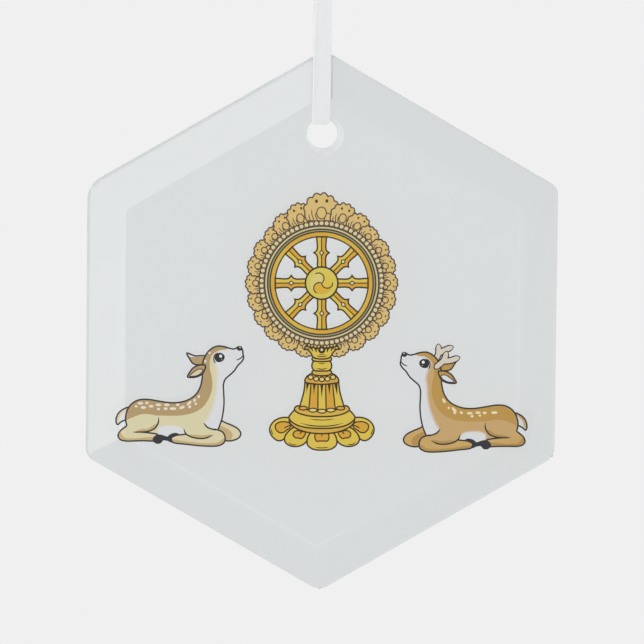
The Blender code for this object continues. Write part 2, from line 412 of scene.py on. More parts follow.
print("glass faces:", len(glass.data.polygons))

# %% [markdown]
# # The satin ribbon
# The ornament hangs by 3 mm satin ribbon, woven so that long threads float on its face and catch the
# light, with a firm selvedge along both edges. It is held taut by the glass, goes down behind it,
# through the hole and up in front, and both strands meet in a knot above the picture. A curve with a
# bevel would give a flat strip, but no selvedge and no place for the weave to follow. So an outline
# of the ribbon's end is swept along its route by extrusion, and each point keeps how far across the
# ribbon and along it it lies.

# %% Smooth routes and sweeps
def smooth_route(points, steps, closed=False):
    """A curve through the points, centripetal Catmull-Rom, with some steps to each stretch."""
    points = [Vector(point) for point in points]
    if closed:
        points = [points[-1], *points, points[0], points[1]]
    else:
        points = [points[0] * 2 - points[1], *points, points[-1] * 2 - points[-2]]
    route = []
    for a, b, c, d in zip(points, points[1:], points[2:], points[3:]):
        ta, tb = 0.0, math.sqrt((b - a).length)
        tc = tb + math.sqrt((c - b).length)
        td = tc + math.sqrt((d - c).length)
        for step in range(steps):
            t = tb + (tc - tb) * step / steps
            ab = a.lerp(b, (t - ta) / (tb - ta))
            bc = b.lerp(c, (t - tb) / (tc - tb))
            cd = c.lerp(d, (t - tc) / (td - tc))
            abc = ab.lerp(bc, (t - ta) / (tc - ta))
            bcd = bc.lerp(cd, (t - tb) / (td - tb))
            route.append(abc.lerp(bcd, (t - tb) / (tc - tb)))
    return route if closed else [*route, points[-2]]


def frames_along(route, width_axis):
    """A frame at each point of a route: X across the ribbon, Y out of its face, Z along it."""
    frames = []
    for index, place in enumerate(route):
        before = route[max(index - 1, 0)]
        after = route[min(index + 1, len(route) - 1)]
        along = (after - before).normalized()
        out = along.cross(width_axis).normalized()
        turn = Matrix((out.cross(along), out, along)).transposed()
        frames.append(Matrix.Translation(place) @ turn.to_4x4())
    return frames


def sweep(shape, outline, frames):
    """Runs a closed outline along the frames, and notes where each point lies on the ribbon."""
    across = shape.verts.layers.float.get("across") or shape.verts.layers.float.new("across")
    along = shape.verts.layers.float.get("along") or shape.verts.layers.float.new("along")
    ring = [shape.verts.new(frames[0] @ Vector((a, out, 0))) for a, out in outline]
    for vert, (place, _) in zip(ring, outline):
        vert[across] = place / MM
    edges = [shape.edges.new(pair) for pair in zip(ring, ring[1:] + ring[:1])]
    first = list(edges)
    run = 0.0
    for before, after in zip(frames, frames[1:]):
        made = bmesh.ops.extrude_edge_only(shape, edges=edges)["geom"]
        ring = {part for part in made if isinstance(part, bmesh.types.BMVert)}
        edges = [part for part in made if isinstance(part, bmesh.types.BMEdge)
                 and ring.issuperset(part.verts)]
        bmesh.ops.transform(shape, matrix=after @ before.inverted(), verts=list(ring))
        run += (after.translation - before.translation).length
        for vert in ring:
            vert[along] = run / MM
    return first, edges


# %% The ribbon's route, in millimetres
RIBBON_WIDTH = 3 * MM
RIBBON_THICKNESS = 0.26 * MM
SELVEDGE = 0.36 * MM
LOOP_TURN = math.radians(-3)
ROUTE_STEPS = 6
LEAN = 0.008
ASIDE = -0.2
BACK_MM = (
    (0.62, 0.9), (0.86, -3.0), (1.34, -10.0), (1.88, -18.0), (2.42, -26.0), (2.88, -33.0),
    (3.08, -37.0), (3.08, -41.0), (2.96, -44.5), (2.82, -46.3),
)
BORE_MM = (
    (2.74, -47.0), (2.50, -47.6), (2.05, -47.85), (1.20, -47.85), (0.00, -47.75),
    (-1.20, -47.60), (-2.00, -47.42), (-2.48, -47.15), (-2.72, -46.8),
)
FRONT_MM = (
    (-2.80, -46.0), (-2.86, -44.0), (-2.72, -39.0), (-2.40, -33.0), (-2.02, -26.0), (-1.58, -18.0),
    (-1.16, -10.0), (-0.80, -3.0), (-0.62, 0.9),
)
turned = Matrix.Rotation(LOOP_TURN, 3, "Z")
stations = [(ASIDE + LEAN * z, y, z) for y, z in (*BACK_MM, *BORE_MM, *FRONT_MM)]
ribbon_route = [turned @ (point * MM) for point in smooth_route(stations, ROUTE_STEPS)]


# %% Weave the strip and bow it in the hole
def ribbon_outline(width, thickness, selvedge):
    """The ribbon's end: flat, with a round cord of threads along each edge."""
    face, cord = thickness / 2, selvedge / 2
    edge = width / 2
    half = [
        (edge, 0), (edge - cord * 0.3, cord * 0.75), (edge - cord, cord), (edge - cord * 1.8, face),
        (edge * 0.4, face),
    ]
    upper = half + [(-a, out) for a, out in reversed(half)]
    return upper + [(a, -out) for a, out in reversed(upper[1:-1])]


BOW = 0.28 * MM
TIP = 0.04 * MM
GATHER = 0.3
BOW_FROM, BOW_TO = -44 * MM, -47.8 * MM
shape = bmesh.new()
sweep(
    shape, ribbon_outline(RIBBON_WIDTH, RIBBON_THICKNESS, SELVEDGE),
    frames_along(ribbon_route, turned @ Vector((1, 0, 0))),
)
bmesh.ops.holes_fill(shape, edges=[edge for edge in shape.edges if edge.is_boundary])
bmesh.ops.recalc_face_normals(shape, faces=shape.faces)
across = shape.verts.layers.float["across"]
for vert in shape.verts:
    share = min(max((BOW_FROM - vert.co.z) / (BOW_FROM - BOW_TO), 0), 1)
    aside = vert[across] * MM / (RIBBON_WIDTH / 2)
    inside = min(max(1 - abs(vert.co.y) / thickness * 2, 0), 0.5) * 2
    vert.co.x -= vert[across] * MM * GATHER * inside
    vert.co.z -= (BOW * (1 - aside ** 2) - TIP * aside) * share ** 3
ribbon = finished_mesh("satin_ribbon", shape, math.radians(50))
print("ribbon faces:", len(ribbon.data.polygons))

# %% [markdown]
# # The knot
# Both strands go through one overhand knot, drawn tight, and their ends are cut on the slant so that
# they don't fray. A simulated knot would be slow and hard to steer, and tying it along one route would
# cut through itself when it is drawn tight. So it is built as it looks from outside: a small heart,
# two turns of ribbon crossed over it, and the two ends that come out at the top.

# %% Knot sizes, in millimetres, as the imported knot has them
KNOT_CENTRE = Vector((0, 0, 3.9)) * MM
KNOT_HALF = Vector((2.55, 1.65, 1.9)) * MM
TURN_TILTS = (math.radians(30), math.radians(-38))
TURN_RISE = (0.12 * MM, 0.40 * MM)
TURN_POINTS = 48
TURN_WIDTH, TURN_THICKNESS = 2.5 * MM, 0.42 * MM
TAIL_SLANT = math.radians(32)
BACK_TAIL_MM = (
    (0.00, 0.62, 0.9), (0.00, 0.66, 2.6), (0.00, 0.60, 4.6), (-0.80, 0.75, 7.4), (-1.90, 1.15, 10.0),
    (-3.00, 1.40, 12.8), (-3.85, 1.20, 15.6), (-4.35, 0.75, 18.2),
)
FRONT_TAIL_MM = (
    (0.00, -0.62, 0.9), (0.00, -0.66, 2.6), (0.00, -0.60, 4.6), (0.90, -0.85, 7.2),
    (1.90, -1.35, 9.6), (2.75, -1.55, 12.0), (3.30, -1.25, 14.4), (3.55, -0.80, 16.4),
)


# %% Tie the knot
def add_turn(shape, tilt, rise):
    """One tight turn of ribbon round the heart: a level ring, bunched a little, then tilted."""
    wide, deep = KNOT_HALF.x + rise, KNOT_HALF.y + rise
    lean = Matrix.Translation(KNOT_CENTRE) @ Matrix.Rotation(tilt, 4, "Y")
    frames = []
    for index in range(TURN_POINTS + 1):
        angle = 2 * math.pi * index / TURN_POINTS + math.pi / 2
        place = Vector((wide * math.cos(angle), deep * math.sin(angle), 0))
        along = Vector((-wide * math.sin(angle), deep * math.cos(angle), 0)).normalized()
        up = Vector((0, 0, 1))
        turn = Matrix((up, along.cross(up) * -1, along)).transposed().to_4x4()
        frames.append(lean @ Matrix.Translation(place) @ turn)
    first, last = sweep(shape, ribbon_outline(TURN_WIDTH, TURN_THICKNESS, SELVEDGE * 1.3), frames)
    ends = {vert for edge in first + last for vert in edge.verts}
    bmesh.ops.remove_doubles(shape, verts=list(ends), dist=0.01 * MM)


def add_tail(shape, points_mm, slant):
    """One end of the ribbon from under the knot, through it and out, cut on the slant."""
    points = [Vector(point) * MM for point in points_mm]
    tail_route = smooth_route(points, ROUTE_STEPS)
    tail = bmesh.new()
    sweep(
        tail, ribbon_outline(RIBBON_WIDTH, RIBBON_THICKNESS, SELVEDGE),
        frames_along(tail_route, Vector((1, 0, 0))),
    )
    along = (tail_route[-1] - tail_route[-2]).normalized()
    bmesh.ops.bisect_plane(
        tail, geom=everything(tail), dist=SAME_POINT, clear_outer=True,
        plane_co=tail_route[-1] - along * RIBBON_WIDTH / 2 * math.tan(abs(slant)),
        plane_no=Matrix.Rotation(slant, 3, "Y") @ along,
    )
    bmesh.ops.holes_fill(tail, edges=[edge for edge in tail.edges if edge.is_boundary])
    mesh = bpy.data.meshes.new("tail")
    tail.to_mesh(mesh)
    tail.free()
    shape.from_mesh(mesh)
    bpy.data.meshes.remove(mesh)


knot_shape = bmesh.new()
for tilt, rise in zip(TURN_TILTS, TURN_RISE):
    add_turn(knot_shape, tilt, rise)
add_tail(knot_shape, BACK_TAIL_MM, TAIL_SLANT)
add_tail(knot_shape, FRONT_TAIL_MM, -TAIL_SLANT)
bmesh.ops.create_uvsphere(
    knot_shape, u_segments=32, v_segments=20, radius=1,
    matrix=Matrix.Translation(KNOT_CENTRE) @ Matrix.Diagonal((*KNOT_HALF, 1)),
)
bmesh.ops.recalc_face_normals(knot_shape, faces=knot_shape.faces)
knot = finished_mesh("tied_knot", knot_shape, math.radians(50))
print("knot box, mm:", [round(side / MM, 1) for side in knot.dimensions])

# %% [markdown]
# # Satin
# Polyester satin is white with a cool sheen: its floats lie side by side along the ribbon and scatter
# light in a soft streak, while its selvedge and the weft show as fine ribs. The threads are about
# 0.1 mm apart, too fine for this picture, so the ribs are drawn at 0.33 mm. Both patterns read how
# far along and across the ribbon a point lies, so they follow every bend.

# %% Satin finish
RIB_SPACING_MM = 0.33
FLOAT_SPACING_MM = 0.21
satin, tree, shader = new_material(
    "white polyester satin", Roughness=0.42, Sheen_Weight=0.35, Sheen_Roughness=0.4,
    Specular_IOR_Level=0.45, Subsurface_Weight=1.0, Subsurface_Radius=(1, 1, 1),
    Subsurface_Scale=0.4 * MM,
)
along_node = add_node(tree, "ShaderNodeAttribute", attribute_name="along")
across_node = add_node(tree, "ShaderNodeAttribute", attribute_name="across")
place = add_node(
    tree, "ShaderNodeCombineXYZ",
    links={"X": along_node.outputs["Fac"], "Y": across_node.outputs["Fac"]},
)
ribs = add_node(
    tree, "ShaderNodeTexWave", links={"Vector": place.outputs[0]}, bands_direction="X",
    Scale=math.pi / (10 * RIB_SPACING_MM) * 2, Distortion=0.6, Detail=1.0,
)
floats = add_node(
    tree, "ShaderNodeTexWave", links={"Vector": place.outputs[0]}, bands_direction="Y",
    Scale=math.pi / (10 * FLOAT_SPACING_MM) * 2, Distortion=0.8, Detail=2.0,
)
weave = add_node(
    tree, "ShaderNodeMath", links={0: ribs.outputs["Fac"], 1: floats.outputs["Fac"]},
    operation="MULTIPLY_ADD",
)
weave.inputs[2].default_value = 0.2
shade = add_node(tree, "ShaderNodeValToRGB", links={"Fac": weave.outputs[0]})
shade.color_ramp.elements[0].color = linear("#D5D6D7")
shade.color_ramp.elements[1].color = linear("#EFF0F2")
tree.links.new(shade.outputs["Color"], shader.inputs["Base Color"])
bump = add_node(
    tree, "ShaderNodeBump", links={"Height": weave.outputs[0]}, Strength=0.25, Distance=0.03 * MM,
)
tree.links.new(bump.outputs["Normal"], shader.inputs["Normal"])
for piece in (ribbon, knot):
    piece.data.materials.append(satin)
    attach(piece, "root")
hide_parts("hanging_ribbon")
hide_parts("ribbon_knot")
print("satin on", ribbon.name, "and", knot.name)

# %% [markdown]
# # Drawing in ink
# The picture is printed on the front of the glass, so it is colour only, with no height that a finger
# would find. It could be one image laid over the plate, but its lines would blur close up and would be
# hard to change. Here it is drawn as flat areas laid one over another, as a printer stacks screens.
# Each area is a closed outline, in millimetres, with a colour. A shape with a line round it is two
# areas: a dark one, and a slightly smaller one in colour on top.

# %% Outlines in millimetres
def grown(outline, by):
    """A closed outline, anticlockwise, with each side moved outward by a distance."""
    area = sum(a.x * b.y - b.x * a.y for a, b in zip(outline, outline[1:] + outline[:1]))
    if area < 0:
        outline = outline[::-1]
    moved = []
    for a, b, c in zip(outline[-1:] + outline[:-1], outline, outline[1:] + outline[:1]):
        before, after = (b - a).normalized(), (c - b).normalized()
        outward = Vector((before.y + after.y, -before.x - after.x))
        moved.append(b + outward * by / max(1 + before.dot(after), 0.5))
    return moved


def curved(points, steps=5):
    """A smooth closed outline through some points."""
    return smooth_route(points, steps, closed=True)


def ellipse(middle, wide, high=None, points=24):
    """A round or oval outline."""
    high = high or wide
    angles = [2 * math.pi * index / points for index in range(points)]
    return [(middle[0] + wide * math.cos(a), middle[1] + high * math.sin(a)) for a in angles]


def swollen(a, b, bulge, steps=6):
    """Points from a to just before b, on a side that swells to its left by so many millimetres."""
    outward = (b - a).orthogonal().normalized() * 4 * bulge
    shares = [step / steps for step in range(steps)]
    return [a.lerp(b, share) + outward * share * (1 - share) for share in shares]


def scalloped(corners, bulges):
    """A closed clockwise outline whose sides swell outward between its corners."""
    corners = [Vector(corner) for corner in corners]
    sides = zip(corners, corners[1:] + corners[:1], bulges)
    return [point for a, b, bulge in sides for point in swollen(a, b, bulge)]


def both_sides(half):
    """A closed outline from its right half, which runs from the top to the bottom."""
    return list(half) + [(-x, y) for x, y in reversed(half) if x]


def brushed(route, width, ends):
    """The outline of a line along a route, with round ends that are some share of its width."""
    last = len(route) - 1
    right, left = [], []
    for index, place in enumerate(route):
        along = (route[min(index + 1, last)] - route[max(index - 1, 0)]).normalized()
        share = min(1, ends[0] + index / last * 4, ends[1] + (1 - index / last) * 4)
        side = along.orthogonal() * share * width / 2
        right.append(place - side)
        left.append(place + side)
    far_end = swollen(right[-1], left[-1], -ends[1] * width / 2, 4)
    near_end = swollen(left[0], right[0], -ends[0] * width / 2, 4)
    return right[:-1] + far_end + left[:0:-1] + near_end


def mixed(first, second, share):
    """A linear colour between two hex colours."""
    return [a + (b - a) * share for a, b in zip(linear(first), linear(second))]


# %% A pen that lays ink
LINE = 0.2
LINE_WEIGHT = 1.3
BARE = None
ink_areas = []


class Pen:
    """Lays ink from outlines in its own millimetres: stretched, turned and moved to their place."""

    def __init__(self, middle=(0, 0), turn=0.0, stretch=(1, 1), line_colour="#3A2A10"):
        self.middle = Vector(middle)
        self.turn = Matrix.Rotation(turn, 2)
        self.stretch = Vector(stretch)
        self.line_colour = line_colour

    def put(self, points):
        """Where the pen's own points come to lie in the drawing."""
        return [self.middle + self.turn @ (Vector(point) * self.stretch) for point in points]

    def fill(self, points, colour, within=None, grow=0.0):
        """An area of one colour, kept inside another area if one is given. Returns its number."""
        colour = linear(colour) if isinstance(colour, str) else colour
        ink_areas.append((grown(self.put(points), grow), colour, within))
        return len(ink_areas) - 1

    def shape(self, points, colour, width=LINE, within=None):
        """An area with a line round it, half outside the outline and half inside."""
        half = width * LINE_WEIGHT / 2
        self.fill(points, self.line_colour, within, half)
        return self.fill(points, colour, within, -half)

    def line(self, points, width=LINE, within=None, ends=(0.3, 0.3), colour=None, steps=4):
        """An open line, smooth through its points."""
        route = smooth_route(self.put(points), steps)
        colour = linear(colour or self.line_colour)
        ink_areas.append((grown(brushed(route, width * LINE_WEIGHT, ends), 0), colour, within))


print("a pen is ready; its line is", LINE, "mm wide")

# %% [markdown]
# # The petals round the wheel
# Small curled petals stand all round the wheel like flames, each overlapping the next, and the ones on
# top are the largest. Each one has two dots, a large curl and a small one, and a few veins. A petal is
# drawn once, as if it stood on top of the wheel, and the pen then turns and stretches it to its place.

# %% Draw the petals
WHEEL = (-0.26, 6.82)
PETAL_FOOT = 10.35
PETAL_COLOUR, PETAL_LINE, PETAL_DOT = "#DDBF78", "#55403A", "#5A3A10"
PETAL_CORNERS = (
    (-1.47, 0.05), (-1.70, 0.80), (-1.50, 1.50), (-0.92, 2.02), (-0.12, 2.24), (0.66, 2.12),
    (1.30, 1.75), (1.70, 1.15), (1.66, 0.55), (1.35, 0.05),
)
PETAL_SWELL = (0.12, 0.24, 0.26, 0.26, 0.26, 0.24, 0.22, 0.14, 0.06, 0.0)
PETAL_LINE_WIDTH = 0.17
SIDE_ANGLES = (45, 60, 75, 90, 105, 120, 135, 150, 165.5)
TOP_SIZES = {0: (1.62, 1.98), 18: (1.2, 1.52), 32: (1.1, 1.28)}
petals = {angle: TOP_SIZES.get(abs(angle), (1, 1)) for angle in
          sorted({sign * angle for sign in (-1, 1) for angle in (*TOP_SIZES, *SIDE_ANGLES)})}


def draw_petal(angle, wide, high):
    """One petal, so many degrees clockwise from the top of the wheel."""
    foot = Matrix.Rotation(-math.radians(angle), 2) @ Vector((0, PETAL_FOOT))
    pen = Pen(Vector(WHEEL) + foot, -math.radians(angle), (wide, high), PETAL_LINE)
    leaf = pen.shape(scalloped(PETAL_CORNERS, PETAL_SWELL), PETAL_COLOUR, PETAL_LINE_WIDTH)
    for vein in (
        ((-1.02, 1.05), (-0.98, 0.55), (-0.72, 0.0)), ((-1.32, 0.62), (-1.26, 0.3), (-1.1, 0.0)),
        ((-0.62, 0.75), (-0.60, 0.42), (-0.42, 0.1)),
    ):
        pen.line(vein, 0.12, leaf, ends=(0.2, 0.8))
    pen.shape(ellipse((0.66, 0.32), 0.38), PETAL_COLOUR, 0.14, leaf)
    pen.shape(ellipse((0.0, 0.72), 0.5), PETAL_COLOUR, 0.14, leaf)
    for dot in ((-0.52, 1.72), (0.55, 1.74)):
        pen.fill(ellipse(dot, 0.16, points=10), PETAL_DOT)


for angle, (wide, high) in petals.items():
    draw_petal(angle, wide, high)
print(len(petals), "petals,", len(ink_areas), "areas so far")

# %% [markdown]
# # The wheel
# The wheel has a ring of beads, a rim in several bands, eight spokes and a hub with three turning
# drops. The eight spokes stand for the eightfold path. Rings are laid as whole discs, each over the
# last, and a disc of no ink at all clears the glass inside the rim again before the spokes go on.

# %% Beads and rim
BEADS = 74
BEAD_RING, BEAD_RADIUS = 10.07, 0.38
LIGHT_GOLD, DEEP_GOLD = "#E0C44C", "#D9A632"
RIM_BANDS = (
    (9.72, "#4A3A2E"), (9.45, "#D6C890"), (9.19, "#4A3A2E"), (8.92, "#A3A37C"), (8.77, "#4A3A1E"),
)
wheel_pen = Pen(WHEEL)
bead_pen = Pen(WHEEL, line_colour=PETAL_LINE)


def turning_gold(place):
    """Gold that goes from light to deep and back, twice round the rim."""
    angle = math.atan2(place.y - WHEEL[1], place.x - WHEEL[0])
    return mixed(LIGHT_GOLD, DEEP_GOLD, 0.75 + 0.25 * math.sin(4 * angle + 0.6))


for index in range(BEADS):
    angle = 2 * math.pi * index / BEADS + math.pi / 2
    middle = (BEAD_RING * math.cos(angle), BEAD_RING * math.sin(angle))
    bead_pen.shape(ellipse(middle, BEAD_RADIUS + 0.03, points=16), "#DFD09A", 0.12)
for radius, colour in RIM_BANDS:
    wheel_pen.fill(ellipse((0, 0), radius, points=120), colour)
wheel_pen.fill(ellipse((0, 0), 8.52, points=120), turning_gold)
wheel_pen.fill(ellipse((0, 0), 7.92, points=120), wheel_pen.line_colour)
wheel_pen.fill(ellipse((0, 0), 7.70, points=120), BARE)

# %% Spokes
SPOKE_HALF = (
    (2.4, 0.72), (4.0, 0.66), (4.55, 0.74), (4.84, 0.92), (5.0, 1.14), (5.1, 1.28), (5.2, 1.14),
    (5.36, 0.92), (5.65, 0.74), (6.2, 0.70), (7.78, 0.82),
)
for spoke in range(8):
    turn = math.radians(45 * spoke)
    pen = Pen(WHEEL, turn)
    halves = [[(0, 7.78), (0, 2.4), *((side * half, out) for out, half in SPOKE_HALF)]
              for side in (-1, 1)]
    body = pen.shape([*((half, out) for out, half in SPOKE_HALF),
                      *((-half, out) for out, half in reversed(SPOKE_HALF))], DEEP_GOLD)
    for side, half in zip((-1, 1), halves):
        facing = Vector((side, 0))
        facing.rotate(Matrix.Rotation(turn, 2))
        if facing.x * -1 + facing.y * 0.3 > 0:
            pen.fill(half, LIGHT_GOLD, body)
    pen.line(((0, 2.4), (0, 7.78)), 0.14, body, ends=(1, 1), steps=1)
    pen.shape(((0, 4.62), (0.34, 5.1), (0, 5.58), (-0.34, 5.1)), "#E4DFC0", 0.14)
print("areas so far:", len(ink_areas))

# %% Hub with three drops
HUB_RADIUS, DROPS_RADIUS = 2.72, 1.88
DROPS = ((5, 125, "#DFC64A"), (125, 245, "#DCD07C"), (245, 365, "#DEB23A"))


def drop_side(angle):
    """Half a circle from the middle of the hub to the rim of the drops."""
    half = DROPS_RADIUS / 2
    start = math.radians(angle)
    turns = [start + math.pi * (1 + step / 14) for step in range(15)]
    return [(half * (math.cos(start) + math.cos(t)), half * (math.sin(start) + math.sin(t)))
            for t in turns]


def drop_rim(first, last):
    """The arc of the drops' rim between two angles."""
    angles = [math.radians(first + (last - first) * step / 14) for step in range(1, 14)]
    return [(DROPS_RADIUS * math.cos(a), DROPS_RADIUS * math.sin(a)) for a in angles]


wheel_pen.shape(ellipse((0, 0), HUB_RADIUS, points=48), "#DACB5A", 0.22)
wheel_pen.fill(ellipse((0, 0), 1.84, points=48), wheel_pen.line_colour)
for first, last, colour in DROPS:
    wheel_pen.fill(drop_side(first) + drop_rim(first, last) + drop_side(last)[:0:-1], colour)
for first, _, _ in DROPS:
    wheel_pen.line(drop_side(first)[::2], 0.15, ends=(0.8, 0.5), steps=2)
print("areas so far:", len(ink_areas))

# %% [markdown]
# # The pedestal
# The wheel stands in a leafy cup on a turned and fluted column, which spreads into five lotus petals.
# It is the same on both sides, so most shapes are drawn as their right half and mirrored. They are
# laid from the back to the front: first the petals at the foot, last the cup under the wheel.

# %% Lotus foot
stand = Pen(WHEEL)
PALE_GOLD = "#E6D27A"
FAR_PETAL = (
    (4.9, -22.9), (5.9, -22.62), (7.1, -22.75), (8.1, -23.3), (8.7, -24.2), (8.72, -25.1), (8.3, -25.9),
    (7.5, -26.5), (6.8, -26.5), (6.1, -26.0), (5.2, -25.0), (4.6, -24.0),
)
FAR_PATCH = (
    (5.2, -24.0), (5.5, -23.55), (6.3, -23.35), (7.2, -23.45), (7.8, -23.9), (7.75, -24.6),
    (7.2, -25.15), (6.5, -25.15), (5.9, -24.75), (5.4, -24.4),
)
NEAR_PETAL = (
    (1.9, -25.2), (3.2, -25.0), (4.6, -24.3), (5.2, -24.6), (6.1, -25.6), (6.3, -26.4), (5.9, -27.1),
    (5.0, -27.5), (4.0, -27.5), (3.1, -27.15), (2.4, -26.4),
)
NEAR_PATCH = (
    (2.75, -25.15), (3.3, -25.0), (4.2, -24.85), (4.7, -25.1), (4.85, -25.6), (4.45, -26.05),
    (3.9, -26.1), (3.5, -26.2), (3.1, -25.95),
)
MIDDLE_PETAL = (
    (0, -24.9), (1.6, -25.0), (2.2, -25.6), (2.5, -26.5), (2.4, -27.3), (1.7, -27.9), (0.8, -28.12),
    (0, -28.15),
)
MIDDLE_PATCH = (
    (0, -25.1), (1.0, -25.2), (1.18, -25.7), (1.12, -26.3), (0.85, -26.65), (0.4, -26.6), (0, -26.62),
)


def mirrored(points):
    """The same points on the other side."""
    return [(-x, y) for x, y in points]


for side in (list, mirrored):
    far = stand.shape(curved(side(FAR_PETAL)), LIGHT_GOLD)
    stand.shape(curved(side(FAR_PATCH)), DEEP_GOLD, 0.17, far)
    stand.line(side(((5.2, -23.95), (5.9, -24.15), (6.4, -24.5))), 0.16, far, (1, 0.1))
    stand.line(side(((8.15, -25.6), (8.42, -25.1), (8.5, -24.6))), 0.12, far, (0.1, 0.1))
    near = stand.shape(curved(side(NEAR_PETAL)), LIGHT_GOLD)
    stand.shape(curved(side(NEAR_PATCH)), DEEP_GOLD, 0.17, near)
    stand.line(side(((3.4, -25.0), (3.55, -25.2), (3.75, -25.5))), 0.16, near, (1, 0.1))
    stand.line(side(((4.2, -27.22), (5.0, -27.22), (5.7, -26.85))), 0.12, near, (0.1, 0.1))
middle = stand.shape(curved(both_sides(MIDDLE_PETAL)), LIGHT_GOLD)
stand.shape(curved(both_sides(MIDDLE_PATCH)), DEEP_GOLD, 0.17, middle)
stand.line(((0, -25.3), (0, -25.9)), 0.14, middle, (1, 0.1))
stand.line(((-1.2, -27.66), (0, -27.78), (1.2, -27.66)), 0.12, middle, (0.1, 0.1))
print("areas so far:", len(ink_areas))


# %% Round foot and its collar
def turned_part(half, colour):
    """A part turned on a lathe, smooth round its outline, from its right half."""
    return stand.shape(curved(both_sides(half)), colour)


turned_part((
    (0, -24.1), (3.0, -23.6), (5.3, -22.9), (5.5, -23.2), (5.0, -24.0), (3.6, -24.8), (1.8, -25.25),
    (0, -25.36),
), "#D8AE42")
torus = turned_part((
    (0, -21.8), (2.6, -21.8), (4.5, -21.4), (5.1, -21.9), (5.55, -22.6), (5.25, -23.2), (4.1, -23.95),
    (2.2, -24.38), (0, -24.48),
), LIGHT_GOLD)
stand.line(((-3.7, -23.55), (-2.0, -23.98), (0, -24.12), (2.0, -23.98), (3.7, -23.55)), 0.15, torus,
           (0.1, 0.1))
stand.line(((-2.2, -22.88), (0, -23.08), (2.2, -22.88)), 0.11, torus, (0.1, 0.1))
turned_part((
    (0, -20.9), (3.3, -20.75), (4.15, -20.68), (4.55, -21.0), (4.6, -21.35), (3.9, -21.9),
    (2.1, -22.38), (0, -22.5),
), "#DBB446")
print("areas so far:", len(ink_areas))

# %% Fluted bell
BELL_HALF = (
    (0, -16.4), (2.5, -16.4), (2.82, -16.7), (2.9, -17.4), (3.02, -18.3), (3.25, -19.2),
    (3.5, -20.05), (3.75, -20.85), (2.6, -21.3), (1.2, -21.55), (0, -21.6),
)
FLUTE_TOPS = (-2.85, -1.83, -0.63, 0.63, 1.83, 2.85)
FLUTE_FEET = (-3.8, -2.22, -0.68, 0.72, 2.28, 3.8)
bell = stand.shape(both_sides(BELL_HALF), LIGHT_GOLD)
for index in range(5):
    top = FLUTE_TOPS[index:index + 2]
    foot = FLUTE_FEET[index:index + 2]
    flute = ((top[0], -16.9), (top[1], -16.9), (foot[1], -21.5), (foot[0], -21.5))
    if index % 2:
        stand.fill(flute, DEEP_GOLD, bell)
    middle = sum(top) / 2
    lean = (sum(foot) / 2 - middle) * 0.32
    longer = 0.6 if index == 2 else 0.0
    stand.fill((
        (middle - 0.3, -16.8), (middle + 0.3, -16.8), (middle + lean + 0.05, -18.0 - longer),
        (middle + lean, -18.9 - longer),
    ), stand.line_colour, bell)
for top, foot in zip(FLUTE_TOPS[1:-1], FLUTE_FEET[1:-1]):
    stand.line(((top, -16.8), (top + (foot - top) * 0.3, -18.6), (foot, -21.4)), 0.17, bell, (1, 1))
for across, drop in ((-3.15, -21.06), (-1.5, -21.4), (0, -21.57), (1.5, -21.4), (3.15, -21.06)):
    colour = "#D6A23C" if abs(across) > 2 else PALE_GOLD
    stand.shape(ellipse((across, drop), 0.70, 0.33, 20), colour, 0.16)
print("areas so far:", len(ink_areas))

# %% Shoulder, rings, ball and cup
shoulder = turned_part((
    (0, -15.1), (1.5, -15.15), (2.25, -15.5), (2.75, -16.1), (2.82, -16.65), (1.9, -16.9), (0, -17.05),
), "#D8A63A")
for across, drop in ((-1.88, -15.85), (1.88, -15.85), (-0.94, -16.12), (0.94, -16.12), (0, -16.2)):
    stand.shape(ellipse((across, drop), 0.42, 0.38, 18), PALE_GOLD, 0.15, shoulder)
turned_part((
    (0, -14.75), (1.3, -14.7), (1.6, -14.85), (1.62, -15.15), (1.4, -15.4), (0, -15.6),
), "#D9B548")
turned_part((
    (0, -13.1), (1.25, -13.12), (1.58, -13.45), (1.66, -13.9), (1.55, -14.4), (1.2, -14.72),
    (0, -14.8),
), LIGHT_GOLD)
stand.line(((-0.95, -14.35), (0, -14.5), (0.95, -14.35)), 0.13, ends=(0.1, 0.1))
stand.line(((-0.6, -13.5), (0, -13.56), (0.6, -13.5)), 0.10, ends=(0.1, 0.1))
turned_part((
    (0, -12.55), (1.35, -12.5), (1.62, -12.65), (1.6, -12.95), (1.3, -13.1), (0, -13.22),
), "#DBB84A")
stand.fill(both_sides((
    (0, -10.5), (1.0, -10.44), (2.0, -10.3), (2.6, -10.2), (2.85, -10.6), (2.6, -11.1), (1.8, -11.6),
    (0, -11.9),
)), PETAL_LINE)
for index in range(-4, 5):
    angle = math.radians(270 + index * 2.9)
    back_bead = (10.68 * math.cos(angle), 10.68 * math.sin(angle))
    stand.shape(ellipse(back_bead, 0.24, points=12), PETAL_COLOUR, 0.1)
cup = stand.shape(curved(both_sides((
    (0, -11.0), (0.5, -11.05), (0.82, -10.88), (0.97, -11.2), (1.2, -10.98), (1.5, -10.74),
    (1.7, -11.04), (2.0, -10.82), (2.41, -10.64), (2.76, -10.74), (2.9, -11.06), (2.55, -11.14),
    (2.2, -11.38), (1.82, -11.8), (1.55, -12.3), (1.2, -12.6), (0, -12.78),
)), 4), LIGHT_GOLD)
for side in (-1, 1):
    stand.line(((side * 1.7, -10.95), (side * 1.55, -11.5)), 0.16, cup, (1, 0.1))
    stand.line(((side * 0.97, -11.1), (side * 0.95, -11.65)), 0.16, cup, (1, 0.1))
    stand.line(((side * 2.35, -10.95), (side * 2.0, -11.25)), 0.13, cup, (1, 0.1))
stand.line(((-1.0, -12.2), (0, -12.38), (1.0, -12.2)), 0.13, cup, (0.1, 0.1))
stand.line(((-0.55, -11.95), (0, -12.02), (0.55, -11.95)), 0.1, cup, (0.1, 0.1))
stand.shape(ellipse((0, -11.22), 0.42), "#DFD09A", 0.3)
print("areas so far:", len(ink_areas))

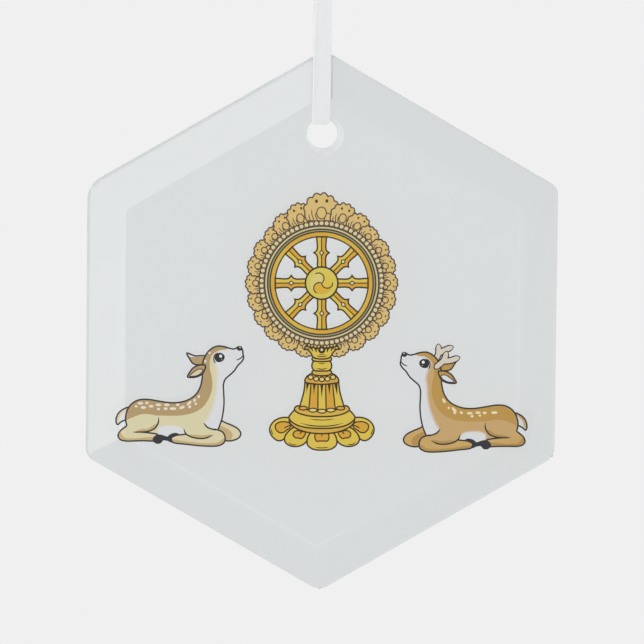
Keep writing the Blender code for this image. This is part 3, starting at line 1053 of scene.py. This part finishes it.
# %% [markdown]
# # The deer
# A doe and a stag lie on either side of the wheel and look up at it, as they do on temple roofs. Both
# come from one drawing that faces right, and the pen mirrors it for the stag. A table for each gives
# the colours of the coat and its spots, and the stag also gets antlers. Soft edges between two parts
# of a coat are a few thin steps of mixed colour, since an area of ink has one colour or none.

# %% The deer's outlines, in millimetres from the lower left of each
BODY = (
    (20.55, 16.6), (19.75, 16.25), (18.95, 16.35), (18.0, 16.65), (16.8, 16.7), (15.75, 16.15),
    (14.95, 15.2), (14.5, 14.0), (14.45, 12.6), (14.35, 11.2), (14.0, 9.8), (13.25, 8.6), (12.1, 7.8),
    (10.6, 7.35), (9.0, 7.3), (7.2, 7.55), (5.3, 7.85), (3.8, 7.75), (2.65, 7.1), (1.95, 6.1),
    (1.65, 4.9), (1.75, 3.9), (2.1, 3.2), (4.0, 1.7), (8.0, 1.55), (12.0, 1.5), (15.0, 1.6),
    (16.6, 2.3), (17.3, 3.6), (17.75, 5.2), (17.98, 7.2), (17.92, 9.2), (17.9, 10.3), (18.2, 11.2),
    (18.95, 11.9), (19.7, 12.6), (20.3, 13.5), (20.95, 14.15), (21.25, 14.75), (21.15, 15.45),
    (21.05, 16.1),
)
HIND_LEG = (
    (2.1, 3.5), (1.2, 2.95), (0.6, 2.3), (0.42, 1.65), (0.8, 1.1), (1.7, 0.88), (3.0, 0.92), (4.6, 0.95),
    (6.0, 0.9), (6.8, 0.9), (7.2, 1.5), (6.9, 2.0), (5.6, 2.25), (4.2, 2.4), (3.0, 2.5),
)
THIGH = (
    (1.9, 3.4), (2.5, 4.6), (4.6, 5.4), (6.9, 5.0), (7.1, 4.1), (6.5, 3.1), (5.4, 2.55), (4.0, 2.42),
    (2.7, 2.4), (2.0, 2.7),
)
THIGH_LINE = ((7.1, 4.9), (7.08, 4.0), (6.45, 3.0), (5.3, 2.5), (4.0, 2.4), (2.9, 2.4))
FORELEG = (
    (9.3, 0.75), (11.8, 0.34), (14.8, 0.05), (17.0, 0.1), (17.95, 0.6), (18.15, 1.4), (17.8, 2.3),
    (17.0, 2.72), (16.0, 2.85), (14.6, 2.6), (13.0, 2.3), (11.7, 2.05), (10.6, 1.92), (9.5, 1.8),
    (9.1, 1.3),
)
SHOULDER = (
    (11.4, 2.7), (11.7, 4.4), (14.0, 4.8), (14.7, 3.75), (15.4, 3.1), (16.2, 2.75), (16.9, 2.6),
    (16.6, 2.1), (16.0, 1.8), (15.0, 1.4), (13.9, 1.32), (12.5, 1.55), (11.6, 2.1),
)
CHEST_LINE = ((14.6, 3.9), (15.2, 3.2), (16.1, 2.85), (17.0, 2.72))
ELBOW_LINE = ((11.3, 2.95), (11.6, 2.15), (12.5, 1.58), (13.9, 1.32), (15.1, 1.42), (16.1, 1.9))
FAR_FORELEG = (
    (17.2, 4.35), (18.2, 3.95), (19.4, 3.45), (20.3, 2.9), (20.75, 2.15), (20.5, 1.5), (19.6, 1.02),
    (18.5, 0.9), (17.4, 1.2), (16.4, 2.2), (16.3, 3.3),
)
FAR_LEG_SHADE = (
    (17.0, 3.4), (18.2, 3.1), (19.1, 2.5), (19.4, 1.8), (19.0, 1.0), (18.0, 0.9), (17.0, 2.0),
)
TAIL = (
    (2.1, 6.5), (1.2, 6.15), (0.5, 5.5), (0.15, 4.7), (0.12, 3.9), (0.35, 3.6), (0.8, 4.0), (1.3, 4.3),
    (1.7, 4.5), (2.0, 5.4),
)
TAIL_BACK = (
    (2.1, 6.5), (1.1, 6.2), (0.4, 5.5), (0.0, 4.6), (0.1, 3.4), (0.5, 4.1), (0.9, 5.2), (1.6, 5.9),
)
NEAR_EAR = (
    (14.9, 13.5), (13.9, 13.55), (12.9, 13.1), (12.3, 12.35), (11.95, 11.6), (12.8, 11.5), (13.6, 11.65),
    (14.4, 12.1), (14.75, 12.7),
)
EAR_INSIDE = ((14.5, 12.75), (13.8, 12.9), (13.1, 12.5), (12.3, 11.75), (13.3, 11.75), (14.1, 12.15))
FAR_EAR = (
    (15.2, 15.0), (14.2, 15.12), (13.2, 15.1), (11.85, 15.55), (12.3, 14.6), (12.9, 13.8), (13.8, 13.6),
    (14.8, 13.8),
)
BACK_AREA = (
    (1.0, 4.0), (2.4, 4.7), (4.2, 5.1), (7.0, 5.15), (10.6, 5.15), (12.9, 5.6), (14.6, 6.7),
    (15.6, 8.3), (16.05, 10.0), (15.95, 11.6), (15.65, 13.0), (15.7, 14.4), (16.2, 15.4), (17.2, 16.0),
    (18.6, 16.3), (18.2, 17.4), (15.6, 17.2), (13.6, 14.6), (13.6, 11.2), (12.6, 9.0), (9.0, 8.2),
    (4.0, 8.6), (1.2, 7.4),
)
FRONT_AREA = (
    (14.6, 3.3), (15.4, 5.0), (16.2, 7.0), (16.65, 9.2), (16.75, 11.2), (16.9, 12.4), (16.6, 13.6),
    (16.1, 14.8), (16.8, 15.9), (18.2, 16.3), (20.4, 17.0), (22.0, 15.6), (21.0, 13.4), (18.8, 11.0),
    (18.6, 8.0), (18.4, 4.6), (17.0, 2.4), (15.6, 2.6),
)
BELLY_AREA = ((7.3, 1.6), (7.0, 2.9), (7.8, 3.4), (9.4, 3.5), (10.8, 3.2), (11.4, 2.4), (11.4, 1.5))
HIND_HOOF = (
    (6.1, 1.1), (6.45, 1.75), (7.1, 2.0), (8.0, 1.82), (8.75, 1.45), (8.6, 0.95), (7.9, 1.0), (7.4, 0.5),
    (6.6, 0.5),
)
FORE_HOOF = (
    (9.5, 0.65), (9.35, 1.35), (10.6, 1.95), (10.1, 2.25), (9.3, 2.15), (8.7, 1.75), (8.5, 1.2),
    (8.7, 0.85),
)
LEG_SHADES = (
    ((9.2, 1.05), (12.0, 0.78), (15.0, 0.52), (17.0, 0.68), (18.0, 1.3), (18.4, 0.5), (17.0, -0.3),
     (9.2, 0.2)),
    ((0.2, 2.7), (1.0, 2.1), (1.5, 1.5), (3.0, 1.35), (6.6, 1.45), (6.6, 0.5), (1.0, 0.4), (0.0, 1.5)),
)
FOLD_SHADES = (
    ((3.2, 2.45), (4.2, 2.9), (5.4, 3.0), (6.5, 3.7), (7.0, 3.7), (6.4, 2.9), (5.3, 2.48), (4.0, 2.4)),
    ((12.1, 1.9), (13.0, 1.95), (14.5, 1.85), (15.6, 2.0), (16.1, 1.85), (15.1, 1.4), (13.9, 1.3),
     (12.6, 1.55)),
)
EYE = (
    (16.45, 14.8), (16.8, 15.45), (17.5, 15.6), (18.1, 15.1), (17.95, 14.4), (17.3, 14.05),
    (16.7, 14.2),
)
FAR_ANTLER = (((15.4, 15.4), (14.9, 16.5), (14.9, 17.7)), ((14.9, 16.5), (14.0, 17.0), (12.8, 17.5)))
NEAR_ANTLER = (((15.2, 14.3), (14.0, 15.4), (13.6, 16.5)), ((14.2, 15.2), (13.0, 15.3), (11.7, 15.75)))

# %% Draw the deer
DEER_LINE = "#2E2B2B"
HOOF_DARK, EYE_DARK = "#2E2D30", "#232225"
DOE = {
    "back": "#B79D6E", "side": "#DFD7AF", "leg": "#E0D5AC", "shade": "#C9AF7C", "front": "#E2E3E5",
    "ear": "#E3CFAE", "tail": "#E3CFAE", "spot": "#EFE3D2", "antlers": False,
    "spots": (
        (3.4, 6.7, 0.4), (4.1, 7.2, 0.85), (4.6, 6.5, 0.8), (5.2, 7.25, 0.5), (5.9, 6.7, 0.7),
        (7.1, 6.95, 0.85), (7.1, 6.25, 0.45), (8.3, 6.3, 0.6), (8.5, 6.95, 0.8), (9.5, 6.3, 1.0),
        (10.3, 6.95, 0.55), (11.0, 6.5, 0.9), (12.2, 7.2, 0.9), (12.3, 6.6, 0.5), (13.1, 7.7, 0.55),
        (13.3, 7.1, 0.4), (13.8, 8.3, 0.5), (14.9, 14.2, 0.4), (15.6, 15.6, 0.35),
    ),
}
STAG = {
    "back": "#C0984C", "side": "#CDA971", "leg": "#D1AA66", "shade": "#B8934F", "front": "#E2E3E5",
    "ear": "#E2E3E5", "tail": "#CDA971", "spot": "#F3E3B8", "antlers": True,
    "spots": (
        (5.6, 6.6, 0.95), (7.2, 6.55, 0.6), (8.3, 6.6, 0.8), (8.0, 6.1, 0.35), (9.3, 6.0, 0.45),
        (9.7, 6.5, 0.9), (11.1, 6.6, 0.5), (12.2, 6.6, 0.5), (12.3, 7.1, 1.0), (13.2, 7.4, 0.36),
        (14.0, 8.6, 0.8),
    ),
}
SOFT_STEPS = 4


def soften(pen, points, inner, outer, within, spread):
    """An area whose edge goes from one colour to another in thin steps."""
    for step in range(SOFT_STEPS):
        share = (step + 1) / SOFT_STEPS
        pen.fill(points, mixed(outer, inner, share), within, spread * (0.5 - share))


def draw_deer(pen, coat):
    """A deer lying down, that faces right and looks up."""
    tail = pen.shape(curved(TAIL), coat["front"])
    pen.fill(curved(TAIL_BACK), coat["tail"], tail)
    far_leg = pen.shape(curved(FAR_FORELEG), coat["leg"])
    pen.fill(curved(FAR_LEG_SHADE), coat["shade"], far_leg)
    far_ear = pen.shape(curved(FAR_EAR), coat["back"])
    pen.fill(((11.5, 15.9), (12.4, 14.9), (14.9, 14.95), (14.9, 15.6)), coat["front"], far_ear)
    if coat["antlers"]:
        draw_antler(pen, FAR_ANTLER)
    body = pen.shape(curved(BODY), coat["side"])
    soften(pen, curved(FRONT_AREA), coat["front"], coat["side"], body, 0.6)
    soften(pen, curved(BELLY_AREA), coat["front"], coat["side"], body, 0.4)
    pen.fill(curved(BACK_AREA), coat["back"], body)
    for across, up, length in coat["spots"]:
        lean = 0.0 if across < 10 else min((across - 10) * 0.35, 1.1)
        way = Vector((math.cos(lean), math.sin(lean))) * (length - 0.3) / 2
        spot = Vector((across, up))
        pen.line((spot - way, spot + way), 0.34, body, (0.9, 0.9), coat["spot"], 2)
    leg = pen.shape(curved(HIND_LEG), coat["leg"])
    pen.fill(curved(LEG_SHADES[1]), coat["shade"], leg)
    pen.fill(curved(THIGH), coat["side"])
    pen.fill(curved(FOLD_SHADES[0]), coat["shade"])
    pen.line(THIGH_LINE)
    leg = pen.shape(curved(FORELEG), coat["leg"])
    pen.fill(curved(LEG_SHADES[0]), coat["shade"], leg)
    pen.fill(curved(SHOULDER), coat["side"])
    pen.fill(curved(FOLD_SHADES[1]), coat["shade"])
    pen.line(CHEST_LINE)
    pen.line(ELBOW_LINE)
    for hoof in (HIND_HOOF, FORE_HOOF):
        pen.fill(curved(hoof), HOOF_DARK)
    ear = pen.shape(curved(NEAR_EAR), coat["back"])
    pen.shape(curved(EAR_INSIDE), coat["ear"], 0.12, ear)
    if coat["antlers"]:
        draw_antler(pen, NEAR_ANTLER)
    pen.fill(curved(EYE), EYE_DARK)
    pen.fill(ellipse((17.45, 15.05), 0.25, points=12), "#F2F3F5")
    pen.fill(ellipse((17.6, 14.5), 0.12, points=10), "#8D8F94")
    pen.line(((17.0, 15.7), (16.4, 15.1), (16.35, 14.3), (16.6, 13.8)), 0.16, body, (0.2, 0.2))
    pen.fill(ellipse((20.6, 16.35), 0.48, 0.42), EYE_DARK)
    pen.fill(ellipse((20.65, 16.5), 0.13, points=10), "#C9CBD0")
    pen.line(((21.15, 15.1), (20.7, 14.65), (20.05, 14.4)), 0.15, body, (0.8, 0.2))


def draw_antler(pen, branches):
    """An antler of two tines: first all its line, then all its colour."""
    for width, colour in ((0.92, DEER_LINE), (0.6, "#DDD3C2")):
        for branch in branches:
            pen.line(branch, width, ends=(1, 0.8), colour=colour)


draw_deer(Pen((-34.84, -20.66), 0.0, (1.01, 1.01), DEER_LINE), DOE)
draw_deer(Pen((34.40, -21.70), 0.0, (-1.01, 1.01), DEER_LINE), STAG)
print("areas of ink:", len(ink_areas))

# %% [markdown]
# # The film of ink
# A printer lays the inks down in one thin film. Stacking hundreds of flat areas would give faces that
# fight for the same place, so all their outlines are cut into one sheet of triangles that meet edge to
# edge. Each triangle takes the colour of the last area that covers it, or is left out where there is
# no ink. The edges of the flat front are cut in as well, because the tails run over on to the bevel.

# %% Cut the areas into one sheet
FILM = 0.012 * MM
FILM_GAP = 0.004 * MM
PRINT_LAY = Matrix(((1, -0.0122), (0.0033, 1))) * 0.988 * MM
points, loops = [], []
for outline, _, _ in ink_areas:
    loops.append(list(range(len(points), len(points) + len(outline))))
    points.extend(outline)
crease_corner = front_apothem / math.cos(math.pi / SIDES)
creases = [(len(points) + side, len(points) + (side + 1) % SIDES) for side in range(SIDES)]
corners = ellipse((0, 0), crease_corner, points=SIDES * 2)[1::2]
points.extend(PRINT_LAY.inverted() @ Vector(corner) for corner in corners)
places, _, triangles, _, _, covers = geometry.delaunay_2d_cdt(points, creases, loops, 1, 1e-5)


def on_glass(place):
    """A point of the drawing, in metres, just in front of the glass or of its bevel."""
    x, z = PRINT_LAY @ place
    beyond = max(x * math.cos(turn) + z * math.sin(turn) for turn in side_turns) - front_apothem
    depth = max(beyond, 0) * bevel_slope
    return (x, glass_low.y + depth - FILM_GAP, z + glass_centre.z)


def top_ink(cover):
    """The colour of the last area that lies over a triangle."""
    for number in sorted(cover, reverse=True):
        _, colour, within = ink_areas[number]
        if within is None or within in cover:
            return colour
    return BARE


side_turns = [2 * math.pi * side / SIDES for side in range(SIDES)]
shape = bmesh.new()
ink_layer = shape.loops.layers.float_color.new("ink")
corners = [shape.verts.new(on_glass(place)) for place in places]
for triangle, cover in zip(triangles, covers):
    colour = top_ink(cover)
    if colour is BARE:
        continue
    face = shape.faces.new([corners[index] for index in triangle])
    for loop, index in zip(face.loops, triangle):
        loop[ink_layer] = colour(places[index]) if callable(colour) else colour
bmesh.ops.delete(shape, geom=[vert for vert in shape.verts if not vert.link_faces], context="VERTS")
film = finished_mesh("printed_picture", shape)
body_of_film = film.modifiers.new("film", "SOLIDIFY")
body_of_film.thickness = FILM
body_of_film.offset = 1
settle(film)
print("triangles in the sheet:", len(triangles), "faces in the film:", len(film.data.polygons))

# %% [markdown]
# # Ink
# Screen-printing ink dries to a smooth, slightly glossy film. One material serves all colours, since
# each corner of the film's triangles carries its own. Ink is never laid down quite evenly, so a fine
# noise makes each colour a little lighter and darker.

# %% Ink finish
INK_GRAIN_MM = 0.5
ink, tree, shader = new_material("screen-printed ink", Roughness=0.4, Specular_IOR_Level=0.35)
laid = add_node(tree, "ShaderNodeAttribute", attribute_name="ink")
where = add_node(tree, "ShaderNodeTexCoord")
grain = add_node(
    tree, "ShaderNodeTexNoise", links={"Vector": where.outputs["Object"]},
    Scale=1 / (INK_GRAIN_MM * MM), Detail=2.0,
)
evenness = add_node(
    tree, "ShaderNodeMapRange", links={"Value": grain.outputs["Fac"]}, To_Min=0.84, To_Max=0.92,
)
tone = add_node(
    tree, "ShaderNodeVectorMath", links={0: laid.outputs["Color"], 1: evenness.outputs["Result"]},
    operation="MULTIPLY",
)
tree.links.new(tone.outputs[0], shader.inputs["Base Color"])
film.data.materials.append(ink)
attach(film, "root")
print("ink on", film.name)
